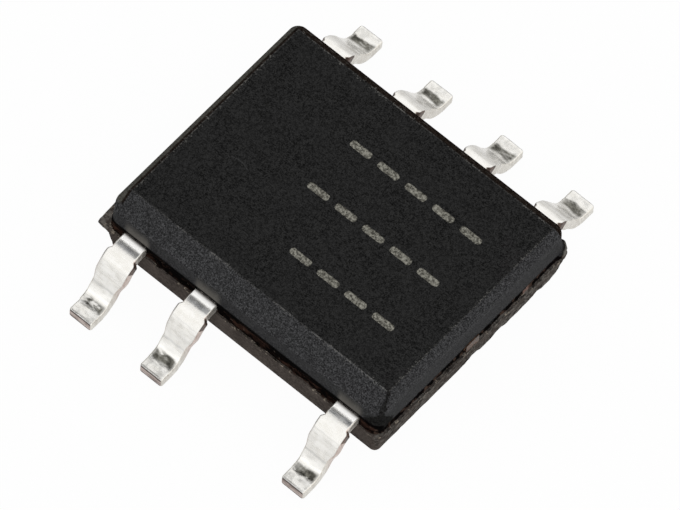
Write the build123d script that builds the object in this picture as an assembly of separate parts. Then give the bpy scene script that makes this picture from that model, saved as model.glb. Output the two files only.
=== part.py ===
from build123d import *
import math
import os

# A narrow-body surface-mount chip package: eight positions, seven leads, gull-wing feet.
# X runs along the rows from pin 1 towards pin 4, Y from the near row to the far row, Z up.
# The origin lies on the seating plane, in the middle of the two rows. Millimetres and degrees.

# Rows of leads
pitch = 1.27
position_count = 4
empty_positions = (3,)
lead_overhang = 1.045
lead_thickness = 0.17
lead_width = 0.40

# Bent shape of a lead outside the body, with the radius inside each bend
shoulder_run = 0.02
shoulder_radius = 0.315
foot_radius = 0.265
foot_length = 0.165
foot_corner_radius = 0.03

# Wider stretch of a lead, left where the dam bar was cut away
dam_width = 0.48
dam_offset = 0.21
dam_step = 0.04
dam_length = 0.22
dam_taper = 0.12
dam_curve_radius = 0.25

# Moulded body
end_margin = 0.555
body_width = 3.96
standoff = 0.11
lower_thickness = 0.56
upper_thickness = 0.52
side_ledge = 0.045
end_ledge = 0.03
strip_setback = 0.025
lower_corner_radius = 0.10
upper_corner_radius = 0.16
lower_draft = 8
upper_draft = 2
top_edge_radius = 0.133
bottom_edge_radius = 0.07
bevel_width = 0.30
bevel_height = 0.23

# How far the moulding lies off the middle of the leads
body_shift_x = 0.01
body_shift_y = 0.02

# Remnant of the gate at the pin 1 corner: a thin lip at the parting level
gate_reach = 0.095
gate_length = 0.40
gate_flare = 0.10
gate_spread = 0.11
gate_overhang = 0.02
gate_thickness = 0.05

# Round mark of the ejector pin on the underside
ejector_diameter = 1.0
ejector_depth = 0.03

# Bonding fingers, the flat ends of the leads inside the body
finger_pad_width = 0.66
finger_pad_length = 0.30
finger_gap = 0.20
corner_finger_shift = 0.30
neck_inset = 0.19
lock_notch_depth = 0.07
lock_notch_length = 0.12
lock_notch_inset = 0.22

# Die pad and the tie bars that carry it
pad_length = 2.90
pad_width = 2.00
pad_corner_radius = 0.12
pad_downset = 0.12
tie_bar_width = 0.26
tie_bar_stub = 0.03
tie_bar_ramp = 0.14
tie_bar_ramp_offset = 0.08

# Die and its adhesive
die_length = 1.50
die_width = 1.10
die_thickness = 0.20
attach_thickness = 0.025
attach_margin = 0.05
attach_corner_radius = 0.06

# Bond wires, with flat sides in place of round ones so that they need few faces
wire_diameter = 0.03
wire_sides = 6
wire_rise = 0.14
wire_fall = 0.02
wire_crest_share = 0.55
wire_first_radius = 0.05
wire_second_radius = 0.16
ball_diameter = 0.075
ball_height = 0.018
bond_inset = 0.12
down_bond_reach = 0.34

# Largest difference at which two levels count as one
level_tolerance = 0.00001

# Levels worked out from the sizes above
frame_bottom = standoff + lower_thickness
frame_top = frame_bottom + lead_thickness
body_top = frame_top + upper_thickness
pad_top = frame_top - pad_downset
attach_top = pad_top + attach_thickness
die_top = attach_top + die_thickness

# Length of the body, from the outermost leads and the margin past them
body_length = (position_count - 1) * pitch + 2 * end_margin

# Half sizes and reaches that several pieces share
half_length = body_length / 2
half_width = body_width / 2
upper_length = body_length - 2 * end_ledge
upper_width = body_width - 2 * side_ledge
finger_tip = pad_width / 2 + finger_gap
finger_root = half_width - neck_inset
lead_tip = half_width + lead_overhang
row_middle = (position_count + 1) / 2
last_position = position_count * 2


def tapered_block(length, width, corner_radius, level, height, draft):
    """A block with rounded corners whose sides lean in by the draft angle as it leaves its level."""
    lean = abs(height) * math.tan(math.radians(draft))
    wide_end = Plane.XY.offset(level) * RectangleRounded(length, width, corner_radius)
    narrow_end = Plane.XY.offset(level + height) * RectangleRounded(
        length - 2 * lean, width - 2 * lean, corner_radius
    )
    return loft([wide_end, narrow_end], ruled=True)


def edges_at(shape, level):
    """The edges that lie wholly in one level plane."""
    found = []
    for edge in shape.edges():
        box = edge.bounding_box()
        if abs(box.min.Z - level) < level_tolerance and abs(box.max.Z - level) < level_tolerance:
            found.append(edge)
    return found


def upper_half():
    """The half above the leads, with its rounded top edge and the bevel along the near row."""
    block = tapered_block(
        upper_length, upper_width, upper_corner_radius, frame_top, upper_thickness, upper_draft
    )
    block = fillet(edges_at(block, body_top), top_edge_radius)
    lean = (upper_thickness - bevel_height) * math.tan(math.radians(upper_draft))
    bevel_foot = -upper_width / 2 + lean
    slope = bevel_height / bevel_width
    outer = bevel_foot - bevel_width
    corner = Polyline(
        (outer, body_top - bevel_height - slope * bevel_width),
        (bevel_foot + 2 * bevel_width, body_top + slope * bevel_width),
        (outer, body_top + slope * bevel_width),
        close=True,
    )
    return block - extrude(Plane.YZ * make_face(corner), amount=body_length, both=True)


def lower_half():
    """The half below the leads, a little larger at the parting level, with the ejector pin's mark."""
    block = tapered_block(
        body_length, body_width, lower_corner_radius, frame_bottom, -lower_thickness, lower_draft
    )
    block = fillet(edges_at(block, standoff), bottom_edge_radius)
    mark = Plane.XY.offset(standoff) * Circle(ejector_diameter / 2)
    return block - extrude(mark, amount=ejector_depth)


def middle_layer():
    """The resin between the two halves, as thick as the lead frame."""
    width = body_width - 2 * strip_setback
    outline = Plane.XY.offset(frame_bottom) * RectangleRounded(upper_length, width, upper_corner_radius)
    return extrude(outline, amount=lead_thickness)


def gate_remnant():
    """The thin lip that the broken gate left round the pin 1 corner."""
    end_face = -half_length
    side_face = -half_width
    inside = lower_corner_radius
    outline = Polyline(
        (end_face + inside, side_face + gate_length),
        (end_face, side_face + gate_length + gate_flare),
        (end_face - gate_reach, side_face + gate_length),
        (end_face - gate_reach, side_face),
        (end_face + gate_spread, side_face - gate_overhang),
        (end_face + inside, side_face + inside),
        close=True,
    )
    return extrude(Plane.XY.offset(frame_bottom) * make_face(outline), amount=-gate_thickness)


def lead_bends():
    """The two corners of a lead's centre line, as distances from the middle plane.

    The shoulder bends down a short run past half the body's width, and the slope joins it to the foot.
    """
    shoulder_centre = shoulder_radius + lead_thickness / 2
    foot_centre = foot_radius + lead_thickness / 2
    both_radii = shoulder_centre + foot_centre
    reach = lead_tip - foot_length - half_width - shoulder_run
    root = math.sqrt(reach**2 - (2 * both_radii - frame_bottom) * frame_bottom)
    half_tangent = frame_bottom / (reach + root)
    shoulder = half_width + shoulder_run + shoulder_centre * half_tangent
    heel = lead_tip - foot_length - foot_centre * half_tangent
    return shoulder, heel, half_tangent


def lead_side_profile():
    """The bent strip of one far-row lead, seen along X."""
    shoulder, heel, half_tangent = lead_bends()
    shift = lead_thickness / 2 * half_tangent
    top = FilletPolyline(
        (finger_tip, frame_top),
        (shoulder + shift, frame_top),
        (heel + shift, lead_thickness),
        (lead_tip, lead_thickness),
        radius=[shoulder_radius + lead_thickness, foot_radius],
    )
    bottom = FilletPolyline(
        (finger_tip, frame_bottom),
        (shoulder - shift, frame_bottom),
        (heel - shift, 0),
        (lead_tip, 0),
        radius=[shoulder_radius, foot_radius + lead_thickness],
    )
    tip = Line((lead_tip, lead_thickness), (lead_tip, 0))
    inner_end = Line((finger_tip, frame_bottom), (finger_tip, frame_top))
    return make_face([top, tip, bottom, inner_end])


def outer_blank():
    """The lead outside the body, seen from above, centred on X = 0: its wider stretch and its foot."""
    narrow = lead_width / 2
    wide = dam_width / 2
    step = half_width + dam_offset
    taper = step + dam_step + dam_length
    side = FilletPolyline(
        (narrow, finger_root),
        (narrow, step),
        (wide, step + dam_step),
        (wide, taper),
        (narrow, taper + dam_taper),
        (narrow, lead_tip),
        (0, lead_tip),
        radius=[0, 0, dam_curve_radius, dam_curve_radius, foot_corner_radius],
    )
    centre = Line((0, lead_tip), (0, finger_root))
    root = Line((0, finger_root), (narrow, finger_root))
    half = make_face([side, centre, root])
    return half + mirror(half, about=Plane.YZ)


def finger_blank(shift):
    """The bonding finger inside the body, seen from above, with the notches that lock it in the resin."""
    narrow = lead_width / 2
    pad_root = finger_tip + finger_pad_length
    pad = Pos(shift, (finger_tip + pad_root) / 2) * Rectangle(finger_pad_width, finger_pad_length)
    neck = Polyline(
        (shift - narrow, pad_root),
        (shift + narrow, pad_root),
        (narrow, finger_root),
        (-narrow, finger_root),
        close=True,
    )
    notch_middle = half_width - lock_notch_inset
    neck_middle = shift * (finger_root - notch_middle) / (finger_root - pad_root)
    blank = pad + make_face(neck)
    for side in (-1, 1):
        notch = Rectangle(2 * lock_notch_depth, lock_notch_length)
        blank -= Pos(neck_middle + side * narrow, notch_middle) * notch
    return blank


def lead(number):
    """One lead, numbered anticlockwise seen from above, with its bonding finger."""
    near_row = number <= position_count
    place = number if near_row else last_position + 1 - number
    along = (place - row_middle) * pitch
    at_corner = place in (1, position_count)
    shift = -math.copysign(corner_finger_shift, along) if at_corner else 0
    blank = outer_blank() + finger_blank(-shift if near_row else shift)
    strip = extrude(Plane.YZ * lead_side_profile(), amount=pitch, both=True)
    shape = strip & extrude(blank, amount=body_top)
    if near_row:
        shape = Rot(0, 0, 180) * shape
    return Pos(along, 0, 0) * shape


def die_pad():
    """The pad that carries the die, set below the leads, with a tie bar out to each end face."""
    ramp_start = pad_length / 2 + tie_bar_ramp_offset
    ramp_end = ramp_start + tie_bar_ramp
    bar_end = upper_length / 2 + tie_bar_stub
    pad_bottom = pad_top - lead_thickness
    side = Polyline(
        (-bar_end, frame_top),
        (-ramp_end, frame_top),
        (-ramp_start, pad_top),
        (ramp_start, pad_top),
        (ramp_end, frame_top),
        (bar_end, frame_top),
        (bar_end, frame_bottom),
        (ramp_end, frame_bottom),
        (ramp_start, pad_bottom),
        (-ramp_start, pad_bottom),
        (-ramp_end, frame_bottom),
        (-bar_end, frame_bottom),
        close=True,
    )
    strip = extrude(Plane.XZ * make_face(side), amount=pad_width, both=True)
    blank = RectangleRounded(pad_length, pad_width, pad_corner_radius) + Rectangle(2 * bar_end, tie_bar_width)
    return strip & extrude(blank, amount=body_top)


def die_attach():
    """The thin bed of adhesive under the die, squeezed out a little round it."""
    length = die_length + 2 * attach_margin
    width = die_width + 2 * attach_margin
    outline = Plane.XY.offset(pad_top) * RectangleRounded(length, width, attach_corner_radius)
    return extrude(outline, amount=attach_thickness)


def die():
    """The sawn silicon die."""
    outline = Plane.XY.offset(attach_top) * Rectangle(die_length, die_width)
    return extrude(outline, amount=die_thickness)


def bond_wire(start, end):
    """A wire from a ball on the die up over its crest and down to a stitch on flat metal."""
    span = math.hypot(end[0] - start[0], end[1] - start[1])
    across = ((end[0] - start[0]) / span, (end[1] - start[1]) / span, 0)
    loop_plane = Plane(origin=start, x_dir=across, z_dir=(across[1], -across[0], 0))
    drop = start[2] - end[2]
    path = loop_plane * FilletPolyline(
        (0, 0),
        (0, wire_rise),
        (span * wire_crest_share, wire_rise - wire_fall),
        (span, -drop - wire_diameter / 2),
        radius=[wire_first_radius, wire_second_radius],
    )
    section = Plane(origin=path @ 0, z_dir=path % 0) * RegularPolygon(wire_diameter / 2, wire_sides)
    wire = sweep(section, path=path)
    under_stitch = Pos(end[0], end[1], end[2]) * Box(
        2 * wire_rise + wire_diameter,
        2 * wire_rise + wire_diameter,
        2 * wire_diameter,
        align=(Align.CENTER, Align.CENTER, Align.MAX),
    )
    ball = extrude(Pos(*start) * RegularPolygon(ball_diameter / 2, 2 * wire_sides), amount=ball_height)
    return wire - under_stitch + ball


def lead_wire(number):
    """The wire that joins the die to one lead's bonding finger."""
    near_row = number <= position_count
    place = number if near_row else last_position + 1 - number
    offset = place - row_middle
    along = offset * pitch
    outermost = position_count - row_middle
    if abs(offset) == outermost:
        along -= math.copysign(corner_finger_shift, along)
    side = -1 if near_row else 1
    on_die = (
        offset / outermost * (die_length / 2 - bond_inset),
        side * (die_width / 2 - bond_inset),
        die_top,
    )
    on_finger = (along, side * (finger_tip + finger_pad_length / 2), frame_top)
    return bond_wire(on_die, on_finger)


def down_bond():
    """The ground wire from the die down to the pad beside it."""
    start = (die_length / 2 - bond_inset, 0, die_top)
    end = (die_length / 2 + down_bond_reach, 0, pad_top)
    return bond_wire(start, end)


def moulded_body(enclosed):
    """The resin round everything that it holds."""
    block = upper_half() + lower_half() + middle_layer() + gate_remnant()
    block = Pos(body_shift_x, body_shift_y, 0) * block
    for piece in enclosed:
        block -= piece
    return block


pieces = {"die_pad": die_pad(), "die_attach": die_attach(), "die": die(), "down_bond_wire": down_bond()}
for number in range(1, last_position + 1):
    if number not in empty_positions:
        pieces[f"lead_{number}"] = lead(number)
        pieces[f"bond_wire_{number}"] = lead_wire(number)
pieces["moulded_body"] = moulded_body(list(pieces.values()))

os.makedirs("parts", exist_ok=True)
for node, shape in pieces.items():
    export_step(shape, f"parts/{node}.step")
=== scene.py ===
import math

import bmesh
import bpy
from mathutils import Matrix, Vector


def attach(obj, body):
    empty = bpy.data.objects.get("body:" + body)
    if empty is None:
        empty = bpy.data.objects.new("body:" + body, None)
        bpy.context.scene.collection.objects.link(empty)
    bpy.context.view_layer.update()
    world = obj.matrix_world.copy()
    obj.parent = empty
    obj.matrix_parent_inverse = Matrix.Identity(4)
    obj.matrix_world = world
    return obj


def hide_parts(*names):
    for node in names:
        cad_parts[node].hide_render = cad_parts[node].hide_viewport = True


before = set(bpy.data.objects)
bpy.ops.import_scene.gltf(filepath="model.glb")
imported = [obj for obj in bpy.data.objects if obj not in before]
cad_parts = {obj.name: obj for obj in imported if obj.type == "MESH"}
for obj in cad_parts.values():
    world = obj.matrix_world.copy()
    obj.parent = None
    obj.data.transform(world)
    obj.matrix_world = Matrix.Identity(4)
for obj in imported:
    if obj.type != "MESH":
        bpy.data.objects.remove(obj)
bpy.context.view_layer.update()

# The new pieces are modelled in millimetres and brought to metres when they are done.
MM = 0.001

# Sizes that the solids have too
PITCH = 1.27
LEAD_WIDTH = 0.40
LEAD_THICKNESS = 0.17
FRAME_BOTTOM = 0.67
FRAME_TOP = 0.84
BODY_TOP = 1.36
STANDOFF = 0.11
HALF_LENGTH = 2.46
HALF_WIDTH = 1.98
SHIFT_X = 0.01
SHIFT_Y = 0.02
END_LEDGE = 0.03
SIDE_LEDGE = 0.045
SETBACK = 0.025
CORNER_RADIUS = 0.16
LOWER_CORNER = 0.10
BEVEL_WIDTH = 0.30
BEVEL_HEIGHT = 0.23
EJECTOR_RADIUS = 0.5
EJECTOR_DEPTH = 0.03
LEAD_TIP = 3.025
FOOT_LENGTH = 0.165
DAM_WIDTH = 0.48
FINGER_TIP = 1.2
FINGER_ROOT = 1.79
FINGER_PAD_LENGTH = 0.30
FINGER_PAD_WIDTH = 0.66
FINGER_SHIFT = 0.30
LEADS = (1, 2, 4, 5, 6, 7, 8)

# Lean of each half of the body over its height, and how far from its edge the rounding reaches
LOWER_LEAN = 0.0787
UPPER_LEAN = 0.0182
TOP_ROUND = 0.1284
BOTTOM_ROUND = 0.0608

# A lead's bends, with the radii of its middle line
SHOULDER_RUN = 0.02
SHOULDER_RADIUS = 0.40
FOOT_RADIUS = 0.35

# Height up to which a lead's small waves leave it alone, so that its foot stays flat underneath
SOLE = 0.03

# The wider stretch of a lead, as places along its middle line from half the width of the body
DAM_START = 0.181
DAM_FULL = 0.218
DAM_FADE = 0.495
DAM_END = 0.704

# Half sizes of the flat top inside its rounded rim, and how far the bevel's upper edge lies from the middle
TOP_HALF_LENGTH = 2.283
TOP_HALF_WIDTH = 1.788
BEVEL_EDGE = 1.625

# Half the width of the body at the strip beside the leads
SIDE_STRIP = 1.955

# Heights of the rings that the two halves are drawn through, closest where the body is chipped and torn
LOWER_RINGS = (0.19, 0.23, 0.27, 0.32, 0.37, 0.42, 0.48, 0.51, 0.54, 0.56, 0.58, 0.60, 0.62, 0.64, 0.66)
UPPER_RINGS = (0.86, 0.89, 0.94, 1.02, 1.12, 1.20)

# Chips in the lower edge of the end face by leads 4 and 5: Y, height and size
CHIPS = ((0.11, 0.15, 0.14), (0.64, 0.15, 0.11), (1.41, 0.15, 0.12), (1.86, 0.16, 0.10))

# Places on the marked face, in the order of its rows: number of strokes, X of the first, Y
MARK_ROWS = ((5, -0.42, 0.97), (5, -0.42, 0.09), (4, 0.07, -0.84))
MARK_STEP = 0.49
MARK_LENGTH = 0.36
MARK_THICKNESS = 0.11

# The fitted camera: angles in degrees, distances in millimetres, lens and shifts in pixels of the picture
CAMERA_TURN = 35.372
CAMERA_RISE = 60.569
CAMERA_ROLL = -6.415
CAMERA_DISTANCE = 199.489
AIM_HEIGHT = 0.8
LENS_PIXELS = 14750.6
SHIFT_RIGHT = -4.628
SHIFT_DOWN = -20.766
PICTURE_WIDTH = 680
SENSOR_WIDTH = 36


# Hands: what is picked, and the operators that shape it

def only(piece):
    """Makes one piece the active and only selected object."""
    if bpy.context.object and bpy.context.object.mode != "OBJECT":
        bpy.ops.object.mode_set(mode="OBJECT")
    bpy.ops.object.select_all(action="DESELECT")
    bpy.context.view_layer.objects.active = piece
    piece.select_set(True)


def open_up(piece, kind):
    """Opens a piece for shaping, with nothing picked."""
    only(piece)
    bpy.ops.object.mode_set(mode="EDIT")
    bpy.ops.mesh.select_mode(type=kind)
    bpy.ops.mesh.select_all(action="DESELECT")


def close_up():
    """Ends the shaping of a piece."""
    bpy.ops.object.mode_set(mode="OBJECT")


def pick(piece, kind, test):
    """Picks the vertices, edges or faces that pass a test, and returns how many there are."""
    bpy.ops.mesh.select_mode(type=kind)
    bpy.ops.mesh.select_all(action="DESELECT")
    mesh = bmesh.from_edit_mesh(piece.data)
    found = 0
    for element in {"VERT": mesh.verts, "EDGE": mesh.edges, "FACE": mesh.faces}[kind]:
        if test(element):
            element.select_set(True)
            found += 1
    mesh.select_flush_mode()
    bmesh.update_edit_mesh(piece.data)
    return found


def apply_all(piece):
    """Applies a piece's modifiers in their order."""
    only(piece)
    for modifier in list(piece.modifiers):
        bpy.ops.object.modifier_apply(modifier=modifier.name)


def cut(piece, tool, operation="DIFFERENCE"):
    """Joins a tool to a piece or cuts it away, and throws the tool away."""
    modifier = piece.modifiers.new("cut", "BOOLEAN")
    modifier.operation = operation
    modifier.solver = "EXACT"
    if tool.data.materials:
        modifier.material_mode = "TRANSFER"
    modifier.object = tool
    apply_all(piece)
    bpy.data.objects.remove(tool)


def weigh(piece, name, weight):
    """Gives a piece a vertex group whose weights follow from each vertex's place."""
    group = piece.vertex_groups.new(name=name)
    for vertex in piece.data.vertices:
        share = weight(vertex.co)
        if share > 0:
            group.add([vertex.index], min(share, 1.0), "REPLACE")


def roughen(piece, group, kind, size, depth, middle=0.5, direction="NORMAL", detail=2):
    """Moves the vertices of a group in and out by a clouded pattern."""
    texture = bpy.data.textures.new(f"{piece.name}_{group}_{kind}", kind)
    texture.noise_scale = size
    if kind == "CLOUDS":
        texture.noise_depth = detail
    modifier = piece.modifiers.new("roughen", "DISPLACE")
    modifier.texture = texture
    modifier.texture_coords = "LOCAL"
    modifier.direction = direction
    modifier.strength = depth
    modifier.mid_level = middle
    modifier.vertex_group = group
    apply_all(piece)


def settle(piece, angle=32):
    """Smooths a piece's shading, brings it from millimetres to metres and puts it on the frame's body."""
    only(piece)
    bpy.ops.object.shade_smooth_by_angle(angle=math.radians(angle))
    piece.scale = (MM, MM, MM)
    bpy.ops.object.transform_apply(location=True, rotation=True, scale=True)
    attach(piece, "root")


# Nodes

class Link:
    """What a node gives. Sums with links and numbers add the Math nodes for them, and a | b is the larger."""

    def __init__(self, finish, socket):
        self.finish = finish
        self.socket = socket

    def _math(self, operation, first, second):
        return self.finish.node("Math", {"operation": operation}, {0: first, 1: second})

    def __add__(self, other):
        return self._math("ADD", self, other)

    def __sub__(self, other):
        return self._math("SUBTRACT", self, other)

    def __mul__(self, other):
        return self._math("MULTIPLY", self, other)

    def __rsub__(self, other):
        return self._math("SUBTRACT", other, self)

    def __pow__(self, other):
        return self._math("POWER", self, other)

    def __abs__(self):
        return self._math("ABSOLUTE", self, 0.0)

    def __or__(self, other):
        return self._math("MAXIMUM", self, other)

    __radd__ = __add__
    __rmul__ = __mul__


class Nodes:
    """The nodes of a material or of the world."""

    def __init__(self, owner):
        owner.use_nodes = True
        self.owner = owner
        self.tree = owner.node_tree
        self.tree.nodes.clear()

    def node(self, kind, settings=None, inputs=None, output=0):
        """Makes a node from its type, its settings, and the values or links of its sockets."""
        made = self.tree.nodes.new("ShaderNode" + kind)
        for name, value in (settings or {}).items():
            setattr(made, name, value)
        for name, value in (inputs or {}).items():
            if isinstance(value, Link):
                self.tree.links.new(value.socket, made.inputs[name])
            elif made.inputs[name].type == "RGBA" and len(value) == 3:
                made.inputs[name].default_value = (*value, 1.0)
            else:
                made.inputs[name].default_value = value
        return Link(self, made.outputs[output]) if made.outputs else None

    def step(self, value, low, high, start=0.0, end=1.0):
        """Turns smoothly from start to end as the value passes from low to high."""
        return self.node(
            "MapRange",
            {"interpolation_type": "SMOOTHSTEP", "clamp": True},
            {"Value": value, "From Min": low, "From Max": high, "To Min": start, "To Max": end},
        )

    def mix(self, share, first, second):
        """Mixes two colours."""
        return self.node("Mix", {"data_type": "RGBA"}, {0: share, 6: first, 7: second}, 2)

    def mixed(self, share, first, second):
        """Mixes two numbers."""
        return self.node("Mix", {"data_type": "FLOAT"}, {0: share, 2: first, 3: second})


class Finish(Nodes):
    """One material, whose patterns are placed in millimetres."""

    def __init__(self, name):
        super().__init__(bpy.data.materials.new(name))
        place = self.node("TexCoord", output="Object")
        self.place = self.node("Mapping", {}, {"Vector": place, "Scale": (1000, 1000, 1000)})
        self.x, self.y, self.z = (self.node("SeparateXYZ", {}, {0: self.place}, axis) for axis in "XYZ")

    def grain(self, per_mm, detail=2.0, roughness=0.5, stretch=(1, 1, 1)):
        """Clouded noise, from 0 to 1, with so many lumps to a millimetre."""
        place = self.node("Mapping", {}, {"Vector": self.place, "Scale": stretch})
        return self.node(
            "TexNoise", {}, {"Vector": place, "Scale": per_mm, "Detail": detail, "Roughness": roughness}
        )

    def cells(self, per_mm):
        """Distance inside scattered cells, with so many cells to a millimetre."""
        return self.node("TexVoronoi", {"feature": "F1"}, {"Vector": self.place, "Scale": per_mm})

    def bump(self, height, strength, distance):
        """Small relief from a pattern of heights, with its depth in metres."""
        return self.node("Bump", {}, {"Height": height, "Strength": strength, "Distance": distance})

    def distance(self, x, y):
        """Distance of each point from an upright line, in millimetres."""
        gap_x, gap_y = self.x - x, self.y - y
        return (gap_x * gap_x + gap_y * gap_y) ** 0.5

    def spot(self, x, y, radius):
        """One inside a round spot, nought outside."""
        return self.step(self.distance(x, y), radius, radius * 0.6)

    def ring(self, x, y, radius, width):
        """One on a thin ring, nought beside it."""
        return self.step(abs(self.distance(x, y) - radius), width, width * 0.4)

    def between_leads(self):
        """How far each point lies along X from the middle of the nearest place of the rows."""
        place = self.node("Math", {"operation": "FRACT"}, {0: self.x * (1 / PITCH)})
        return abs(place - 0.5) * PITCH

    def surface(self, sockets, other=None, share=None):
        """Ends the material in a Principled shader with these values, or in a mix of two such shaders."""
        shader = self.node("BsdfPrincipled", {}, sockets)
        if other:
            second = self.node("BsdfPrincipled", {}, other)
            shader = self.node("MixShader", {}, {0: share, 1: shader, 2: second})
        self.node("OutputMaterial", {}, {"Surface": shader})
        return self.owner


# Materials

def moulding_compound():
    """Black filled epoxy: matte and speckled on top, smoother sides, brown and torn at the parting level."""
    f = Finish("moulding_compound")
    x, y, z = f.x - SHIFT_X, f.y - SHIFT_Y, f.z
    grain = f.grain(24, 3, 0.8)
    fine = f.grain(50, 2, 0.7)
    tone = f.step(grain * 0.5 + fine * 0.5, 0.38, 0.63)
    cloud = f.grain(2.2, 3)

    # The top: speckled black, with a faint curved scratch
    top = f.mix(tone, (0.0030, 0.0030, 0.0030), (0.0215, 0.0215, 0.0213))
    top = f.mix(f.step(cloud, 0.35, 0.7) * 0.25, top, (0.0160, 0.0160, 0.0160))
    scratch = f.ring(-1.50, -0.62, 0.345, 0.010) * f.step(f.y, -0.36, -0.31) * f.step(fine, 0.35, 0.6)
    top = f.mix(scratch * 0.35, top, (0.060, 0.060, 0.060))
    # The sides: smoother on the bevel and near the top
    flecks = f.step(grain * 0.35 + fine * 0.65, 0.40, 0.70)
    side = f.mix(flecks, (0.0085, 0.0085, 0.0088), (0.0610, 0.0612, 0.0635))
    smooth = f.mix(flecks, (0.0085, 0.0086, 0.0090), (0.0370, 0.0372, 0.0385))
    bevel_foot = BODY_TOP - BEVEL_HEIGHT
    on_bevel = f.step(y * -1 - BEVEL_EDGE, -0.01, 0.02) * f.step(z, bevel_foot - 0.03, bevel_foot + 0.01)
    side = f.mix(on_bevel | f.step(z, BODY_TOP - 0.26, BODY_TOP - 0.10), smooth, side)

    # The rounded rim: painted shade in brown where it turns from the light on the far and left edges, olive
    # lower on the left end
    past_far = (x * -1 - TOP_HALF_LENGTH) | (y - TOP_HALF_WIDTH)
    past_end = x - TOP_HALF_LENGTH
    past_near = y * -1 - BEVEL_EDGE
    high = f.step(z, BODY_TOP - 0.17, BODY_TOP - 0.12)
    flat = f.step(z, BODY_TOP - 0.012, BODY_TOP - 0.003)
    rim = f.step(past_far, 0.002, 0.016) * high
    on_top = f.step((past_far | past_end) | past_near, 0.012, 0.0)
    body = f.mix(on_top * high, side, top)
    brown = f.mix(tone, (0.0030, 0.0022, 0.0018), (0.0150, 0.0110, 0.0088))
    olive = f.mix(tone, (0.0240, 0.0230, 0.0195), (0.0600, 0.0580, 0.0510))
    body = f.mix(rim, body, f.mix(f.step(past_far, 0.035, 0.055) * f.step(x, -2.30, -2.32), brown, olive))
    # Painted highlights: pale sparkles along the outline of the top
    patches = f.step(f.grain(1.7, 3, 0.6), 0.44, 0.58)
    sparkle = f.step(f.grain(34, 2, 0.7), 0.47, 0.62) * (patches * 0.60 + 0.40)
    outline = abs((past_far | past_end) | past_near)
    body = f.mix(f.step(outline, 0.012, 0.004) * high * (sparkle * 0.8), body, (0.095, 0.092, 0.085))
    edge_sparkles = f.step(f.grain(26, 2, 0.75), 0.60, 0.67) * patches
    body = f.mix(f.step(outline, 0.060, 0.020) * high * (edge_sparkles * 0.75), body, (0.090, 0.088, 0.082))
    mid_line = f.step(abs(past_far - 0.062), 0.010, 0.004) * high * f.step(f.grain(9, 3, 0.7), 0.48, 0.62)
    body = f.mix(mid_line * 0.6, body, (0.050, 0.047, 0.042))
    # Painted highlight: a paler speckled line along the near edge of the top
    near_edge_highlight = f.step(abs(past_near), 0.020, 0.006) * high * f.step(fine, 0.45, 0.6) * (patches * 0.6 + 0.25)
    body = f.mix(near_edge_highlight * 0.7, body, (0.090, 0.090, 0.092))

    # The dark line that fans out down the corner by lead 4
    bent = (z - 1.13 | 0.0) * 0.75
    corner = abs(((x - 2.383) + (y + 1.888) - bent) * 0.707 + (f.grain(14, 3, 0.7) - 0.5) * 0.11)
    spread = 0.022 + f.step(z, 1.20, 0.98) * 0.120 + f.step(z, 1.02, 0.90) * 0.050
    corner = f.step(corner - spread, 0.020, -0.016) * f.step(x, 2.12, 2.2) * f.step(y, -1.56, -1.62)
    body = f.mix(corner * 0.92, body, f.mix(tone, (0.0030, 0.0028, 0.0028), (0.0150, 0.0150, 0.0142)))
    # Light that the leads throw back on the near wall, with none at the empty position
    lead_share = f.step(f.between_leads() + (cloud - 0.5) * 0.08, 0.255, 0.150)
    lead_share = lead_share * f.step(abs(f.x - PITCH / 2), 0.3, 0.4)
    near_wall = f.step(y, -1.80, -1.86)
    glow = lead_share * near_wall * f.step(z + (cloud - 0.5) * 0.08, 1.17, 0.88)
    body = f.mix(glow * 0.80, body, f.mix(cloud, (0.115, 0.108, 0.096), (0.085, 0.080, 0.071)))
    # Painted shadow: a black line where the upper half meets the strip beside the leads
    under = f.step(z + (grain - 0.5) * 0.02, 0.885, 0.862) * f.step(abs(y), 1.80, 1.86)
    body = f.mix(under, body, (0.0022, 0.0020, 0.0020))

    # The broken strip between the halves, the foot of the end faces with painted shade and brown stains, and
    # the flash by lead 5
    broken = f.grain(8, 4, 0.65, (0.45, 1, 1))
    strip = f.mix(f.step(broken, 0.46, 0.66), (0.0020, 0.0016, 0.0015), (0.0230, 0.0120, 0.0088))
    strip = f.mix(f.step(f.grain(15, 3, 0.6), 0.62, 0.70) * 0.8, strip, (0.052, 0.040, 0.032))
    at_side = f.step(abs(y), SIDE_STRIP - 0.03, SIDE_STRIP - 0.015)
    end_foot = f.step(z + (f.grain(5.0, 4, 0.7) - 0.5) * 0.42, FRAME_BOTTOM + 0.135, FRAME_BOTTOM + 0.115)
    at_corner = f.step(x, 2.34, 2.39) * f.step(y, 1.82, 1.88) * f.step(z, 0.90, 0.86)
    end_foot = end_foot | at_corner
    groove_shade_and_stain = f.mix(f.step(f.grain(7, 3), 0.50, 0.64), (0.0022, 0.0018, 0.0018), (0.040, 0.026, 0.020))
    # Painted orange glint on the end face by lead 5
    orange_glint = f.spot(2.475 - SHIFT_X, 1.15, 0.09) * f.step(broken, 0.35, 0.55)
    groove_shade_and_stain = f.mix(orange_glint, groove_shade_and_stain, (0.130, 0.085, 0.072))
    flash_rim = at_corner * f.step(f.distance(2.34, 1.87), 0.112, 0.136) * f.step(broken, 0.30, 0.50)
    lower = f.step(z, FRAME_BOTTOM + 0.006, FRAME_BOTTOM - 0.002)
    upper = f.step(z, FRAME_TOP - 0.006, FRAME_TOP + 0.004)
    body = f.mix(at_side * (1 - upper), body, strip)
    body = f.mix((1 - at_side) * end_foot * (1 - lower), body, groove_shade_and_stain)
    body = f.mix(flash_rim * (1 - lower) * 0.9, body, (0.120, 0.115, 0.104))
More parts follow.
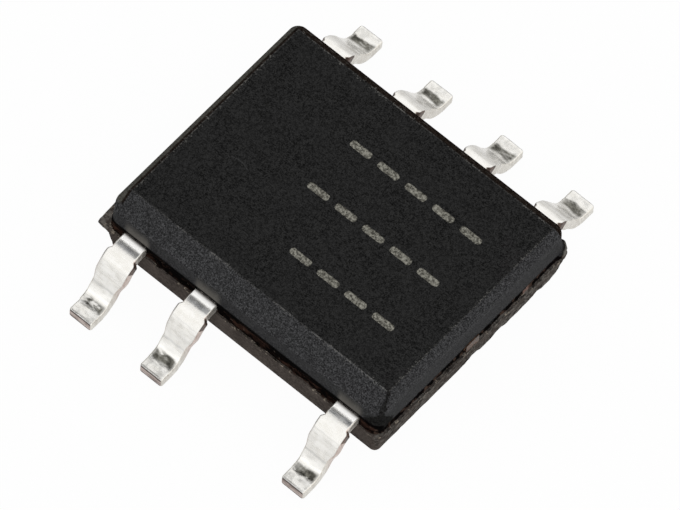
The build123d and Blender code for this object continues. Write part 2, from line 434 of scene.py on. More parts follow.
    # The brown-grey band of the lower half, painted paler for the floor's light on it, lumpy at both ends
    band_tone = f.step(f.grain(24, 3, 0.7) * 0.6 + cloud * 0.4, 0.34, 0.66)
    band = f.mix(band_tone, (0.0280, 0.0235, 0.0210), (0.0720, 0.0610, 0.0540))
    at_end = f.step(abs(x), HALF_LENGTH - 0.10, HALF_LENGTH - 0.06)
    lumps = f.mix(f.step(f.grain(13, 3, 0.7), 0.36, 0.62), (0.0150, 0.0132, 0.0120), (0.100, 0.092, 0.083))
    band = f.mix(at_end * f.step(f.grain(6, 4, 0.7), 0.40, 0.56), band, lumps)
    pale = f.step(f.grain(14, 3, 0.65), 0.58, 0.66) * f.step(z, FRAME_BOTTOM - 0.12, FRAME_BOTTOM - 0.02)
    band = f.mix(pale * 0.85, band, (0.215, 0.185, 0.150))
    body = f.mix(lower, body, band)

    bump = f.bump(grain * 0.6 + fine * 0.5, 0.45, 0.000010)
    rough = f.step(grain, 0.3, 0.7, 0.55, 0.72)
    matte = {"Base Color": body, "Roughness": 0.8, "Specular IOR Level": 0.0, "Normal": bump}
    satin = {"Base Color": body, "Roughness": rough, "Specular IOR Level": 0.04, "Normal": bump}
    return f.surface(satin, matte, ((flat | rim) | (1 - upper)) | corner)


def etched_mark():
    """Resin that a laser has turned pale: a dull crust with darker pits."""
    f = Finish("etched_mark")
    crust = f.grain(26, 3, 0.75)
    pit = f.step(f.cells(17), 0.26, 0.08)
    colour = f.mix(f.step(crust, 0.36, 0.66), (0.038, 0.036, 0.030), (0.205, 0.200, 0.172))
    colour = f.mix(pit * 0.75, colour, (0.020, 0.020, 0.018))
    bump = f.bump(crust, 0.6, 0.000015)
    rough = f.step(crust, 0.2, 0.8, 0.75, 0.95)
    return f.surface({"Base Color": colour, "Roughness": rough, "Specular IOR Level": 0.05, "Normal": bump})


def tin_plate():
    """Matte tin over copper: streaked across the lead, blotched on the foot, with painted dark reflections in
    its bend.
    """
    f = Finish("tin_plate")
    y = abs(f.y)
    near = f.step(f.y, 0.1, -0.1)
    gap = f.node("Attribute", {"attribute_name": "edge_gap"}, output=2)
    streak = f.grain(22, 3, 0.6, (0.10, 1, 1))
    dull = f.grain(8, 3, 0.6)
    fine = f.grain(40, 2, 0.6)
    tone = f.step(dull * 0.5 + streak * 0.5, 0.34, 0.66)
    colour = f.mix(tone, (0.575, 0.560, 0.525), (0.675, 0.665, 0.640))
    line = f.step(abs(y - 2.565 + (dull - 0.5) * 0.03), 0.014, 0.005)
    line = line + f.step(abs(y - 2.365 + (dull - 0.5) * 0.05), 0.010, 0.004) * 0.6
    colour = f.mix(line * 0.5, colour, (0.42, 0.42, 0.41))
    far_glint = f.step(y, 2.42, 2.52) * f.step(y, 2.70, 2.64)
    near_glint = f.step(y + (dull - 0.5) * 0.05, 2.575, 2.630) * f.step(y, 2.70, 2.65)
    glint = f.mixed(near, far_glint, near_glint)
    colour = f.mix(glint * f.mixed(near, 0.75, 0.55), colour, (0.87, 0.86, 0.83))
    foot = f.step(y, 2.82, 2.88)
    blotch = f.step(f.grain(10, 3, 0.6), 0.44, 0.62)
    colour = f.mix(foot * blotch * f.mixed(near, 0.45, 0.7), colour, (0.38, 0.375, 0.355))
    # Painted reflection: the dark stripe under the shoulder of the near leads
    shoulder_reflection = near * f.step(y, 2.025, 2.080) * f.step(y + (fine - 0.5) * 0.05, 2.155, 2.110)
    streaky = f.step(f.grain(11, 3, 0.6, (0.5, 1, 1)), 0.30, 0.70, 0.45, 0.85)
    colour = f.mix(shoulder_reflection * streaky, colour, (0.27, 0.275, 0.285))
    # Painted reflection: dark grey patches in the bend of each lead
    ragged = y + (f.grain(3.6, 2, 0.5) - 0.5) * 0.15 + (fine - 0.5) * 0.02
    far_bend = f.step(ragged, 2.680, 2.755) * f.step(ragged, 2.885, 2.845)
    near_bend = f.step(ragged, 2.675, 2.720) * f.step(ragged, 2.850, 2.785)
    bend = f.mixed(near, far_bend, near_bend) * f.step(gap, 0.0, 0.06, 0.35, 1.0)
    bright = f.step(f.grain(11, 2, 0.5, (0.5, 1, 1)), 0.56, 0.66)
    bend_reflection = f.mix(f.step(fine * 0.3 + dull * 0.7, 0.36, 0.64), (0.020, 0.019, 0.014), (0.135, 0.130, 0.110))
    mottled = f.step(f.grain(9, 3, 0.6, (0.6, 1, 1)), 0.32, 0.52, 0.66, 1.0)
    colour = f.mix(bend * mottled * (1 - bright * f.mixed(near, 0.30, 0.75)) * 0.98, colour, bend_reflection)
    colour = f.mix(f.step(gap, 0.020, 0.004) * f.step(y, 2.12, 2.2) * 0.72, colour, (0.235, 0.235, 0.235))
    # Painted highlight: the near leads white and not metallic just past the body
    exit_highlight = near * f.step(y, 2.060, 2.015)
    colour = f.mix(exit_highlight, colour, (0.97, 0.96, 0.94))
    # Painted shade: dark where the near leads leave the body, for its shadow and reflection
    colour = f.mix(near * f.step(y, 1.990, 1.930) * 0.94, colour, (0.060, 0.050, 0.042))
    rough = f.step(dull * 0.6 + streak * 0.4, 0.35, 0.65, 0.22, 0.36)
    relief = streak * 0.5 + dull * 0.6 + fine * 0.1
    bump = f.bump(relief, f.step(y, 2.08, 2.25, 0.08, 0.30) * f.mixed(near, 0.25, 1.0), 0.000008)
    metal = f.mixed(exit_highlight, 0.82, 0.0)
    tint = (0.765, 0.755, 0.745)
    return f.surface(
        {"Base Color": colour, "Metallic": metal, "Roughness": rough, "Specular Tint": tint, "Normal": bump}
    )


def tin_edge():
    """The stamped edges of a lead: tin over sheared copper, pinkish below the shoulder, beige further out."""
    f = Finish("tin_edge")
    lines = f.grain(20, 3, 0.6, (1, 1, 0.3))
    beige = f.mix(f.step(lines, 0.3, 0.7), (0.50, 0.47, 0.42), (0.68, 0.66, 0.61))
    pink = f.mix(f.step(lines, 0.3, 0.7), (0.36, 0.275, 0.235), (0.60, 0.51, 0.46))
    sheared = f.step(f.y, 0.1, -0.1) * f.step(abs(f.y), 2.10, 2.20) * f.step(abs(f.y), 2.62, 2.42)
    colour = f.mix(sheared, beige, pink)
    bump = f.bump(lines, 0.3, 0.000008)
    rough = f.step(lines, 0.3, 0.7, 0.28, 0.42)
    return f.surface({"Base Color": colour, "Metallic": 0.8, "Roughness": rough, "Normal": bump})


def copper_cut():
    """Bare copper alloy where a tool sheared it: brown-pink, drawn into lines and dark at the rim."""
    f = Finish("copper_cut")
    lines = f.grain(20, 3, 0.6, (1, 1, 0.2))
    tip = f.step(abs(f.y), LEAD_TIP - 0.05, LEAD_TIP - 0.04)
    stub = f.mix(f.step(lines, 0.3, 0.7), (0.032, 0.020, 0.015), (0.130, 0.085, 0.064))
    drawn = f.step(f.grain(16, 3, 0.6, (0.25, 1, 1)), 0.35, 0.65)
    cut_face = f.mix(drawn, (0.150, 0.108, 0.092), (0.400, 0.335, 0.305))
    cut_face = f.mix(f.step(abs(f.z - 0.080), 0.042, 0.062), cut_face, (0.050, 0.036, 0.030))
    colour = f.mix(tip, stub, cut_face)
    bump = f.bump(lines, 0.4, 0.00001)
    rough = f.step(lines, 0.3, 0.7, 0.40, 0.55)
    return f.surface({"Base Color": colour, "Metallic": 0.4, "Roughness": rough, "Normal": bump})


def copper_alloy():
    """The lead frame's bare metal: stamped, a little tarnished, brown at the cut ends."""
    f = Finish("copper_alloy")
    lines = f.grain(14, 3, 0.6, (0.2, 1, 1))
    tarnish = f.step(f.grain(5, 3), 0.35, 0.7)
    colour = f.mix(tarnish, (0.66, 0.37, 0.24), (0.42, 0.23, 0.15))
    cut_end = f.step(abs(f.x), HALF_LENGTH - 0.05, HALF_LENGTH - 0.03)
    smear = f.mix(f.step(lines, 0.3, 0.7), (0.020, 0.012, 0.008), (0.092, 0.053, 0.034))
    colour = f.mix(cut_end, colour, smear)
    metal = f.mixed(cut_end, 0.9, 0.15)
    rough = f.step(lines, 0.3, 0.7, 0.35, 0.5)
    return f.surface(
        {"Base Color": colour, "Metallic": metal, "Roughness": rough, "Specular IOR Level": 0.15}
    )


def silicon_die():
    """Polished silicon with the faint blocks of its circuit and pale bond pads."""
    f = Finish("silicon_die")
    blocks = f.node(
        "TexBrick",
        {},
        {
            "Vector": f.place,
            "Scale": 6.0,
            "Mortar Size": 0.03,
            "Color1": (0.10, 0.12, 0.16),
            "Color2": (0.17, 0.15, 0.20),
            "Mortar": (0.30, 0.28, 0.22),
        },
    )
    tint = f.mix(f.grain(3, 2), (0.12, 0.13, 0.17), (0.20, 0.17, 0.22))
    colour = f.mix(0.6, tint, blocks)
    rough = f.step(f.grain(10), 0.3, 0.7, 0.12, 0.22)
    return f.surface({"Base Color": colour, "Metallic": 0.3, "Roughness": rough})


def die_adhesive():
    """Silver-filled epoxy, pale and grainy."""
    f = Finish("die_adhesive")
    flakes = f.cells(40)
    colour = f.mix(f.step(flakes, 0.1, 0.5), (0.72, 0.70, 0.66), (0.42, 0.40, 0.37))
    rough = f.step(flakes, 0.1, 0.5, 0.3, 0.55)
    bump = f.bump(flakes, 0.4, 0.000006)
    return f.surface({"Base Color": colour, "Metallic": 0.4, "Roughness": rough, "Normal": bump})


def gold_wire():
    """Drawn gold wire with faint die lines."""
    f = Finish("gold_wire")
    lines = f.grain(60, 2)
    colour = f.mix(lines, (0.90, 0.62, 0.22), (1.0, 0.76, 0.36))
    rough = f.step(lines, 0.3, 0.7, 0.14, 0.26)
    return f.surface({"Base Color": colour, "Metallic": 1.0, "Roughness": rough})


def pale_floor():
    """A pale light table: it glows, so that hardly a shadow falls on it."""
    f = Finish("pale_floor")
    tone = f.grain(0.2, 2)
    colour = f.mix(tone, (0.018, 0.018, 0.018), (0.020, 0.020, 0.020))
    return f.surface(
        {
            "Base Color": colour,
            "Roughness": 0.9,
            "Specular IOR Level": 0.0,
            "Emission Color": (1.0, 1.0, 1.0),
            "Emission Strength": 0.966,
        }
    )


# The moulded body

def round_corners(piece, half_length, half_width, level, reach, share):
    """Makes the four corners of the picked ring rounder or sharper, each about its own point."""
    mesh = bmesh.from_edit_mesh(piece.data)
    mesh.verts.index_update()
    ring = {v.index for v in mesh.verts if v.select}
    for side_x in (-1, 1):
        for side_y in (-1, 1):
            pick(
                piece,
                "VERT",
                lambda v: v.index in ring
                and side_x * v.co.x > half_length - reach
                and side_y * v.co.y > half_width - reach,
            )
            corner = (side_x * half_length, side_y * half_width, level)
            bpy.ops.transform.resize(value=(share, share, 1), center_override=corner)
    pick(piece, "EDGE", lambda e: e.verts[0].index in ring and e.verts[1].index in ring)


def ring_of(name, half_length, half_width, level):
    """A closed line round the body, with points close enough together to be chipped and roughened."""
    bpy.ops.object.select_all(action="DESELECT")
    bpy.ops.mesh.primitive_plane_add(size=2, location=(0, 0, level))
    piece = bpy.context.object
    piece.name = name
    piece.scale = (half_length, half_width, 1)
    bpy.ops.object.transform_apply(location=True, rotation=True, scale=True)
    open_up(piece, "VERT")
    bpy.ops.mesh.select_all(action="SELECT")
    bpy.ops.mesh.bevel(offset=CORNER_RADIUS, segments=10, affect="VERTICES")
    bpy.ops.mesh.select_all(action="SELECT")
    bpy.ops.mesh.delete(type="ONLY_FACE")
    for axis, points in ((0, 200), (1, 160)):
        pick(piece, "EDGE", lambda e: abs(e.verts[0].co[axis] - e.verts[1].co[axis]) > 1)
        bpy.ops.mesh.subdivide(number_cuts=points)
    bpy.ops.mesh.select_all(action="SELECT")
    round_corners(piece, half_length, half_width, level, CORNER_RADIUS + 0.001, LOWER_CORNER / CORNER_RADIUS)
    return piece


def lift(size, level, half_length, half_width, new_level):
    """Draws the picked ring up to a new level and size, and returns that size and level."""
    bpy.ops.mesh.extrude_region_move(TRANSFORM_OT_translate={"value": (0, 0, new_level - level)})
    growth = (half_length / size[0], half_width / size[1], 1)
    bpy.ops.transform.resize(value=growth, center_override=(0, 0, 0))
    return (half_length, half_width), new_level


def lower_levels():
    """Half length, half width and height of each ring of the lower half, out to the middle of its ledge."""
    levels = []
    for height in (STANDOFF, *LOWER_RINGS, FRAME_BOTTOM):
        lean = LOWER_LEAN * (FRAME_BOTTOM - height) / (FRAME_BOTTOM - STANDOFF)
        levels.append((HALF_LENGTH - lean, HALF_WIDTH - lean, height))
    levels.append((HALF_LENGTH - END_LEDGE / 2, HALF_WIDTH - SETBACK / 2, FRAME_BOTTOM))
    return levels


def upper_levels():
    """The same for the strip beside the leads and the upper half."""
    levels = []
    for step in range(10):
        height = FRAME_BOTTOM + LEAD_THICKNESS * step / 9
        levels.append((HALF_LENGTH - END_LEDGE, HALF_WIDTH - SETBACK, height))
    for height in (FRAME_TOP, *UPPER_RINGS, BODY_TOP):
        lean = max(UPPER_LEAN * (height - FRAME_TOP) / (BODY_TOP - FRAME_TOP), 0.0012)
        levels.append((HALF_LENGTH - END_LEDGE - lean, HALF_WIDTH - SIDE_LEDGE - lean, height))
    return levels


def round_rim(piece, level, width, rings):
    """Rounds the edge all round the body at its top or its underside."""
    pick(piece, "EDGE", lambda e: all(abs(v.co.z - level) < 0.00001 for v in e.verts))
    bpy.ops.mesh.bevel(
        offset=width, offset_type="OFFSET", segments=rings, affect="EDGES", clamp_overlap=False
    )


def moulded_shell():
    """The body's whole outside, drawn up ring by ring, closed at both ends and rounded there."""
    levels = lower_levels()
    half_length, half_width, level = levels[0]
    piece = ring_of("moulded_package", half_length, half_width, level)
    bpy.ops.mesh.edge_face_add()
    pick(piece, "EDGE", lambda e: True)
    size = (half_length, half_width)
    for next_length, next_width, next_level in levels[1:]:
        size, level = lift(size, level, next_length, next_width, next_level)
    levels = upper_levels()
    size, level = lift(size, level, *levels[0])
    round_corners(piece, size[0], size[1], level, LOWER_CORNER + 0.01, CORNER_RADIUS / LOWER_CORNER)
    for next_length, next_width, next_level in levels[1:]:
        size, level = lift(size, level, next_length, next_width, next_level)
    bpy.ops.mesh.edge_face_add()
    bpy.ops.mesh.select_all(action="SELECT")
    bpy.ops.mesh.normals_make_consistent(inside=False)
    round_rim(piece, BODY_TOP, TOP_ROUND, 8)
    round_rim(piece, STANDOFF, BOTTOM_ROUND, 5)
    bpy.ops.mesh.select_all(action="SELECT")
    bpy.ops.mesh.remove_doubles(threshold=0.0002)
    bpy.ops.mesh.normals_make_consistent(inside=False)
    close_up()
    return piece


def cut_bevel(piece):
    """Cuts the flat bevel along the row of leads 1 to 4, with two narrow margins inside its outline."""
    normal = Vector((0, -BEVEL_HEIGHT, BEVEL_WIDTH)).normalized()
    lean = UPPER_LEAN * (1 - BEVEL_HEIGHT / (BODY_TOP - FRAME_TOP))
    foot = Vector((0, -(HALF_WIDTH - SIDE_LEDGE - lean), BODY_TOP - BEVEL_HEIGHT))
    open_up(piece, "FACE")
    bpy.ops.mesh.select_all(action="SELECT")
    bpy.ops.mesh.bisect(plane_co=foot, plane_no=normal, use_fill=True, clear_outer=True)
    pick(piece, "FACE", lambda face: face.normal.dot(normal) > 0.999 and face.calc_area() > 0.2)
    bpy.ops.mesh.inset(thickness=0.008, depth=0.0)
    bpy.ops.mesh.inset(thickness=0.008, depth=0.0)
    close_up()


def swell_corner(piece):
    """Draws out the flash at the corner by lead 5, where the halves of the mould let resin through."""
    open_up(piece, "VERT")
    pick(
        piece,
        "VERT",
        lambda v: 0.70 < v.co.z < 0.83
        and v.co.x > HALF_LENGTH - END_LEDGE - 0.12
        and v.co.y > HALF_WIDTH - SETBACK - 0.12,
    )
    bpy.ops.transform.translate(
        value=(0.040, 0.055, 0.0),
        use_proportional_edit=True,
        proportional_edit_falloff="SMOOTH",
        proportional_size=0.11,
    )
    close_up()


def gate_lip():
    """The thin ragged lip that the gate left at the corner by lead 1."""
    end_face, side_face = -HALF_LENGTH, -HALF_WIDTH
    low = Vector((end_face - 0.120, side_face - 0.02, FRAME_BOTTOM - 0.05))
    high = Vector((end_face + 0.20, side_face + 0.58, FRAME_BOTTOM - 0.001))
    bpy.ops.object.select_all(action="DESELECT")
    bpy.ops.mesh.primitive_cube_add(size=1, location=(low + high) / 2, scale=high - low)
    piece = bpy.context.object
    piece.name = "gate_lip"
    bpy.ops.object.transform_apply(location=True, rotation=True, scale=True)
    open_up(piece, "FACE")
    for point, normal in (
        ((end_face - 0.095, side_face, 0), (-0.45, -0.020, 0)),
        ((end_face - 0.115, side_face + 0.45, 0), (-0.10, 0.095, 0)),
        ((end_face - 0.095, side_face, 0), (-0.02, -0.205, 0)),
    ):
        bpy.ops.mesh.select_all(action="SELECT")
        bpy.ops.mesh.bisect(plane_co=point, plane_no=normal, use_fill=True, clear_outer=True)
    bpy.ops.mesh.select_all(action="SELECT")
    bpy.ops.mesh.subdivide(number_cuts=9)
    close_up()
    weigh(piece, "all", lambda co: 1.0)
    roughen(piece, "all", "CLOUDS", 0.05, 0.014)
    return piece


def ejector_mark():
    """The round recess that an ejector pin left underneath, as a cutting tool."""
    bpy.ops.object.select_all(action="DESELECT")
    bpy.ops.mesh.primitive_cylinder_add(
        vertices=64, radius=EJECTOR_RADIUS, depth=0.08, location=(0, 0, STANDOFF + EJECTOR_DEPTH - 0.04)
    )
    piece = bpy.context.object
    piece.name = "ejector_mark"
    open_up(piece, "FACE")
    pick(piece, "FACE", lambda face: face.normal.z > 0.9)
    bpy.ops.mesh.bevel(offset=0.01, segments=2, affect="EDGES")
    close_up()
    return piece


def etched_strokes(material):
    """The marking's strokes as one cutting tool: three rows of plain dashes with uneven outlines."""
    bpy.ops.object.select_all(action="DESELECT")
    size = (MARK_LENGTH, MARK_THICKNESS, 0.012)
    bpy.ops.mesh.primitive_cube_add(size=1, location=(0, 0, BODY_TOP), scale=size)
    stroke = bpy.context.object
    stroke.name = "stroke"
    bpy.ops.object.transform_apply(location=True, rotation=True, scale=True)
    open_up(stroke, "EDGE")
    pick(stroke, "EDGE", lambda e: abs(e.verts[0].co.z - e.verts[1].co.z) > 0.01)
    bpy.ops.mesh.bevel(offset=MARK_THICKNESS * 0.40, segments=6, affect="EDGES")
    pick(stroke, "EDGE", lambda e: abs(e.verts[0].co.x - e.verts[1].co.x) > 0.1)
    bpy.ops.mesh.subdivide(number_cuts=18)
    close_up()
    stroke.data.materials.append(material)
    strokes = []
    for count, first, across in MARK_ROWS:
        for number in range(count):
            copy = stroke.copy()
            copy.data = stroke.data.copy()
            copy.location = (first + number * MARK_STEP - SHIFT_X, across - SHIFT_Y, 0)
            bpy.context.collection.objects.link(copy)
            strokes.append(copy)
    bpy.data.objects.remove(stroke)
    only(strokes[0])
    for copy in strokes:
        copy.select_set(True)
    bpy.ops.object.join()
    bpy.ops.object.transform_apply(location=True, rotation=True, scale=True)
    weigh(strokes[0], "all", lambda co: 1.0)
    roughen(strokes[0], "all", "CLOUDS", 0.030, 0.020, 0.5, "Y")
    roughen(strokes[0], "all", "CLOUDS", 0.040, 0.020, 0.5, "X")
    return strokes[0]


def parting_zone(co):
    """How far a vertex of the body belongs to the broken strip between the halves."""
    inside = min((co.z - FRAME_BOTTOM + 0.004) / 0.02, (FRAME_TOP - co.z) / 0.02)
    beside = (abs(co.y) - HALF_WIDTH + 0.10) / 0.04
    return max(0.0, min(1.0, inside, beside))


def ledge_zone(co):
    """How far a vertex belongs to the chipped upper edge of the lower half."""
    edge = max(abs(co.x) - HALF_LENGTH + 0.06, abs(co.y) - HALF_WIDTH + 0.05)
    if edge < 0 or co.z > FRAME_BOTTOM + 0.002:
        return 0.0
    return max(0.0, 1 - (FRAME_BOTTOM - co.z) / 0.11)


def lump_zone(co):
    """How far a vertex belongs to the lumpy band at an end face."""
    if abs(co.x) < HALF_LENGTH - 0.12 or co.z > FRAME_BOTTOM + 0.002:
        return 0.0
    return max(0.0, min(1.0, (co.z - 0.05) / 0.30))


def crevice_zone(co):
    """How far a vertex belongs to the torn groove above the ledge of an end face."""
    if abs(co.x) < HALF_LENGTH - END_LEDGE - 0.02 or abs(co.y) > HALF_WIDTH - SETBACK - CORNER_RADIUS:
        return 0.0
    return max(0.0, min(1.0, (co.z - FRAME_BOTTOM - 0.005) / 0.02, (FRAME_BOTTOM + 0.15 - co.z) / 0.04))


def chip_zone(co):
    """How far a vertex belongs to a chip broken out of the lower edge at the end by leads 4 and 5."""
    share = 0.0
    for across, height, size in CHIPS:
        gap = math.hypot((co.y - across) / size, (co.z - height) / (0.75 * size))
        if co.x > HALF_LENGTH - LOWER_LEAN - BOTTOM_ROUND - 0.02 and co.z < FRAME_BOTTOM - 0.1:
            share = max(share, min(1.0, 1.6 * (1 - gap)))
    return share


def package(materials):
    """The moulded body with its bevel, lip, ejector mark, marking and broken parting line."""
    piece = moulded_shell()
    cut_bevel(piece)
    swell_corner(piece)
    zones = {
        "strip": parting_zone,
        "ledge": ledge_zone,
        "lumps": lump_zone,
        "crevice": crevice_zone,
        "chips": chip_zone,
    }
    for name, zone in zones.items():
        weigh(piece, name, zone)
    roughen(piece, "strip", "CLOUDS", 0.07, 0.050)
    roughen(piece, "ledge", "CLOUDS", 0.14, 0.040, 0.55)
    roughen(piece, "lumps", "CLOUDS", 0.11, 0.030, 0.55)
    roughen(piece, "crevice", "CLOUDS", 0.10, 0.090, 0.80)
    roughen(piece, "chips", "CLOUDS", 0.05, 0.090, 1.0)
    piece.data.materials.append(materials["compound"])
    cut(piece, gate_lip(), "UNION")
    cut(piece, ejector_mark())
    cut(piece, etched_strokes(materials["mark"]))
    piece.location = (SHIFT_X, SHIFT_Y, 0)
    only(piece)
    bpy.ops.object.transform_apply(location=True, rotation=True, scale=True)
    settle(piece)
    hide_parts("moulded_body")


# The leads

def lead_path():
    """The angle of a lead's slope and the length of its straight stretch."""
    both = SHOULDER_RADIUS + FOOT_RADIUS
    reach = LEAD_TIP - FOOT_LENGTH - HALF_WIDTH - SHOULDER_RUN
    root = math.sqrt(reach ** 2 - (2 * both - FRAME_BOTTOM) * FRAME_BOTTOM)
    half_tangent = FRAME_BOTTOM / (reach + root)
    slope = math.hypot(reach - both * half_tangent, FRAME_BOTTOM) - both * half_tangent
    return 2 * math.atan(half_tangent), slope


def lead_blank():
    """One lead of the far row, at X = 0: a stamped strip drawn out, bent down and bent level again."""
    angle, slope = lead_path()
    middle = FRAME_BOTTOM + LEAD_THICKNESS / 2
    bpy.ops.object.select_all(action="DESELECT")
    bpy.ops.mesh.primitive_plane_add(size=1, location=(0, FINGER_ROOT, middle), rotation=(math.pi / 2, 0, 0))
    piece = bpy.context.object
    piece.name = "lead_blank"
    piece.scale = (LEAD_WIDTH, LEAD_THICKNESS, 1)
    bpy.ops.object.transform_apply(location=True, rotation=True, scale=True)
    open_up(piece, "VERT")
    bpy.ops.mesh.select_all(action="SELECT")
    bpy.ops.mesh.bevel(offset=0.026, segments=4, affect="VERTICES")
    bpy.ops.mesh.select_all(action="SELECT")
    bpy.ops.mesh.delete(type="ONLY_FACE")
    pick(piece, "EDGE", lambda e: abs(e.verts[0].co.x - e.verts[1].co.x) > 0.2)
    bpy.ops.mesh.subdivide(number_cuts=15)
    pick(piece, "EDGE", lambda e: abs(e.verts[0].co.z - e.verts[1].co.z) > 0.08)
    bpy.ops.mesh.subdivide(number_cuts=4)
    pick(piece, "EDGE", lambda e: True)

    def draw_out(length, rings, tilt):
        step = length / rings
        for _ in range(rings):
            bpy.ops.mesh.extrude_region_move(
                TRANSFORM_OT_translate={"value": (0, step * math.cos(tilt), -step * math.sin(tilt))}
            )

    start = HALF_WIDTH + SHOULDER_RUN
    draw_out(start - FINGER_ROOT, 7, 0)
    bpy.ops.mesh.spin(steps=22, angle=angle, center=(0, start, middle - SHOULDER_RADIUS), axis=(1, 0, 0))
    draw_out(slope, 24, angle)
    heel = Vector((0, LEAD_TIP - FOOT_LENGTH, LEAD_THICKNESS / 2))
    bpy.ops.mesh.spin(steps=20, angle=-angle, center=heel + Vector((0, 0, FOOT_RADIUS)), axis=(1, 0, 0))
    draw_out(FOOT_LENGTH - 0.03, 8, 0)
    for inset, length in ((0.006, 0.016), (0.010, 0.010), (0.012, 0.004)):
        bpy.ops.mesh.extrude_region_move(TRANSFORM_OT_translate={"value": (0, length, 0)})
        bpy.ops.transform.resize(
            value=(1 - inset / LEAD_WIDTH * 2, 1, 1 - inset / LEAD_THICKNESS),
            center_override=(0, 0, LEAD_THICKNESS / 2),
        )
    bpy.ops.mesh.edge_face_add()
    pick(piece, "EDGE", lambda e: e.is_boundary)
    shank = FINGER_ROOT - FINGER_TIP - FINGER_PAD_LENGTH
    for length, width in ((shank, 1.0), (0.0001, FINGER_PAD_WIDTH / LEAD_WIDTH), (FINGER_PAD_LENGTH, 1.0)):
        bpy.ops.mesh.extrude_region_move(TRANSFORM_OT_translate={"value": (0, -length, 0)})
        bpy.ops.transform.resize(value=(width, 1, 1), center_override=(0, 0, middle))
    bpy.ops.mesh.edge_face_add()
    bpy.ops.mesh.select_all(action="SELECT")
    bpy.ops.mesh.normals_make_consistent(inside=False)
    close_up()
    return piece


def path_place(co):
    """How far along the middle line of the lead blank a point lies, from half the width of the body."""
    angle, slope = lead_path()
    high = Vector((HALF_WIDTH + SHOULDER_RUN, FRAME_BOTTOM + LEAD_THICKNESS / 2 - SHOULDER_RADIUS))
    low = Vector((LEAD_TIP - FOOT_LENGTH, LEAD_THICKNESS / 2 + FOOT_RADIUS))
    spot = Vector((co.y, co.z))
    if spot.x <= high.x:
        return spot.x - HALF_WIDTH
    over = math.atan2(spot.x - high.x, spot.y - high.y)
    if 0 <= over <= angle:
        return SHOULDER_RUN + SHOULDER_RADIUS * over
    slope_end = SHOULDER_RUN + SHOULDER_RADIUS * angle + slope
    if spot.x >= low.x:
        return slope_end + FOOT_RADIUS * angle + spot.x - low.x
    under = math.atan2(low.x - spot.x, low.y - spot.y)
    if 0 <= under <= angle:
        return slope_end + FOOT_RADIUS * (angle - under)
    start = high + SHOULDER_RADIUS * Vector((math.sin(angle), math.cos(angle)))
    along = (spot - start).dot(Vector((math.cos(angle), -math.sin(angle))))
    return SHOULDER_RUN + SHOULDER_RADIUS * angle + along


def dam_width(place):
    """Width of the lead at a place along it, as a share of its plain width."""
    wide = DAM_WIDTH / LEAD_WIDTH - 1
    if place <= DAM_START:
        return 1.0
    if place < DAM_FULL:
        return 1 + wide * (place - DAM_START) / (DAM_FULL - DAM_START)
    if place < DAM_FADE:
        return 1 + wide
    fade = min(max((DAM_END - place) / (DAM_END - DAM_FADE), 0), 1)
    return 1 + wide * fade * fade * (3 - 2 * fade)


def stamped_lead(materials):
    """The lead blank with its wider stretch and its sheared places."""
    piece = lead_blank()
    open_up(piece, "VERT")
    mesh = bmesh.from_edit_mesh(piece.data)
    places = sorted({round(path_place(v.co), 3) for v in mesh.verts})
    rings = []
    for place in places:
        if not rings or place - rings[-1] > 0.003:
            rings.append(place)
    for place in rings:
        share = dam_width(place)
        if share > 1.001:
            pick(piece, "VERT", lambda v: abs(path_place(v.co) - place) <= 0.003)
            bpy.ops.transform.resize(value=(share, 1, 1), center_override=(0, 0, 0))
    close_up()
    for name in ("tin", "edge", "copper"):
        piece.data.materials.append(materials[name])
    for face in piece.data.polygons:
        place = path_place(face.center)
        across = abs(face.normal.x)
        if across > 0.5:
            face.material_index = 2 if DAM_START < place < DAM_FULL + 0.12 and across > 0.6 else 1
        if face.normal.y > 0.75 and face.center.y > LEAD_TIP - 0.02:
            face.material_index = 2
    edge_gap = piece.data.attributes.new("edge_gap", "FLOAT", "POINT")
    for vertex in piece.data.vertices:
        half = LEAD_WIDTH / 2 * dam_width(path_place(vertex.co))
        edge_gap.data[vertex.index].value = max(0.0, min(half - abs(vertex.co.x), LEAD_TIP - vertex.co.y))
    return piece


def leads(materials):
    """Seven leads from one stamping, each turned to its row and with its own small waves."""
    blank = stamped_lead(materials)
    for number in LEADS:
        near = number <= 4
        along = ((number if near else 9 - number) - 2.5) * PITCH
        piece = blank.copy()
        piece.data = blank.data.copy()
        piece.name = f"tinned_lead_{number}"
        bpy.context.collection.objects.link(piece)
        turned = Matrix.Rotation(math.pi if near else 0, 4, "Z")
        piece.matrix_world = Matrix.Translation((along, 0, 0)) @ turned
        only(piece)
        bpy.ops.object.transform_apply(location=True, rotation=True, scale=True)
        if abs(along) > PITCH:
            open_up(piece, "VERT")
            pick(piece, "VERT", lambda v: abs(v.co.y) < FINGER_TIP + FINGER_PAD_LENGTH + 0.001)
            bpy.ops.transform.translate(value=(-math.copysign(FINGER_SHIFT, along), 0, 0))
            close_up()
        weigh(piece, "free", lambda co: min(max((abs(co.y) - 2.10) / 0.15, 0), 1) if co.z > SOLE else 0)
        weigh(piece, "foot", lambda co: 1 - abs(abs(co.y) - 2.80) / 0.14 if co.z > SOLE else 0)
        roughen(piece, "free", "CLOUDS", 0.17, 0.010)
        roughen(piece, "foot", "CLOUDS", 0.09, 0.020)
        settle(piece, 40)
        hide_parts(f"lead_{number}")
    bpy.data.objects.remove(blank)


# Stage, light and camera

def floor():
    """A pale light table under the part."""
    bpy.ops.object.select_all(action="DESELECT")
    bpy.ops.mesh.primitive_plane_add(size=0.6, location=(0, 0, 0))
    plane = bpy.context.object
    plane.name = "floor"
    plane.data.materials.append(pale_floor())


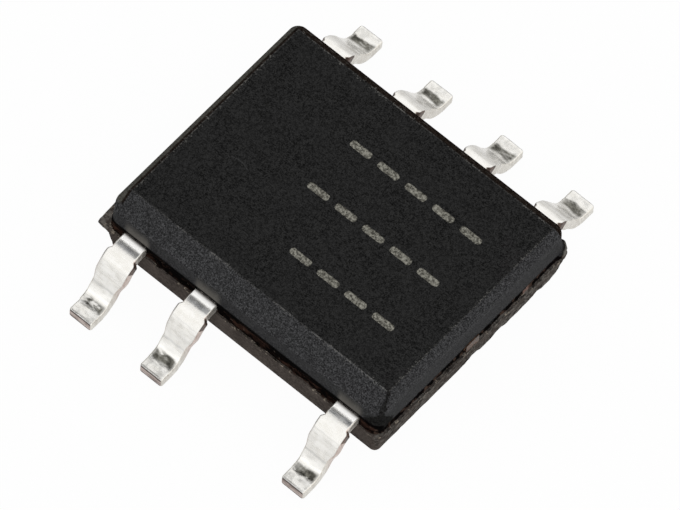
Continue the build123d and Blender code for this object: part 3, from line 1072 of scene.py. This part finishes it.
def studio():
    """A white tent with a dark card overhead, which the near bends mirror, and another low at one side."""
    world = bpy.data.worlds.new("tent")
    bpy.context.scene.world = world
    w = Nodes(world)
    way = w.node("TexCoord", output="Generated")
    x, y, z = (w.node("SeparateXYZ", {}, {0: way}, axis) for axis in "XYZ")
    lean = w.node("Math", {"operation": "DIVIDE"}, {0: y, 1: z | 0.01})
    card = w.step(lean, -0.18, -0.09) * w.step(lean, 0.33, 0.24) * w.step(x, -0.60, -0.50)
    card = card * w.step(x, 0.10, 0.0) * w.step(z, 0.3, 0.5)
    side = w.step(x, -0.60, -0.80) * w.step(z, 0.62, 0.45)
    horizon = w.step(z, 0.22, 0.06) * w.step(y, 0.2, -0.2)
    strength = (1.58 - horizon * 0.48) * (1 - card * 0.88) * (1 - side * 0.80)
    background = w.node("Background", {}, {"Color": (1.0, 1.0, 1.0), "Strength": strength})
    w.node("OutputWorld", {}, {"Surface": background})


def camera():
    """Camera at the photograph's angle, from the fitted distance, turn and lens."""
    turn, rise, roll = math.radians(CAMERA_TURN), math.radians(CAMERA_RISE), math.radians(CAMERA_ROLL)
    shift_right, shift_down = SHIFT_RIGHT / LENS_PIXELS, SHIFT_DOWN / LENS_PIXELS
    ahead = -Vector((math.sin(turn) * math.cos(rise), -math.cos(turn) * math.cos(rise), math.sin(rise)))
    level = ahead.cross(Vector((0, 0, 1))).normalized()
    below = ahead.cross(level)
    right = math.cos(roll) * level + math.sin(roll) * below
    down = -math.sin(roll) * level + math.cos(roll) * below
    eye = Vector((0, 0, AIM_HEIGHT * MM)) - ahead * (CAMERA_DISTANCE * MM)
    ahead = (ahead - shift_right * right - shift_down * down).normalized()
    right = (right - ahead * right.dot(ahead)).normalized()
    down = ahead.cross(right)
    data = bpy.data.cameras.new("camera")
    data.sensor_width = SENSOR_WIDTH
    data.lens = LENS_PIXELS / PICTURE_WIDTH * SENSOR_WIDTH
    data.clip_start = 0.02
    data.clip_end = 2
    piece = bpy.data.objects.new("camera", data)
    bpy.context.collection.objects.link(piece)
    turned = Matrix((right, -down, -ahead)).transposed().to_4x4()
    piece.matrix_world = Matrix.Translation(eye) @ turned
    bpy.context.scene.camera = piece


# The whole scene

def finish_inside():
    """Gives the hidden solids their materials."""
    finishes = {"die": silicon_die(), "die_attach": die_adhesive(), "die_pad": copper_alloy()}
    gold = gold_wire()
    for name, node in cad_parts.items():
        finish = gold if "wire" in name else finishes.get(name)
        if finish:
            node.data.materials.clear()
            node.data.materials.append(finish)


finish_inside()
package({"compound": moulding_compound(), "mark": etched_mark()})
leads({"tin": tin_plate(), "edge": tin_edge(), "copper": copper_cut()})
floor()
studio()
camera()
bpy.context.scene.view_settings.view_transform = "Standard"
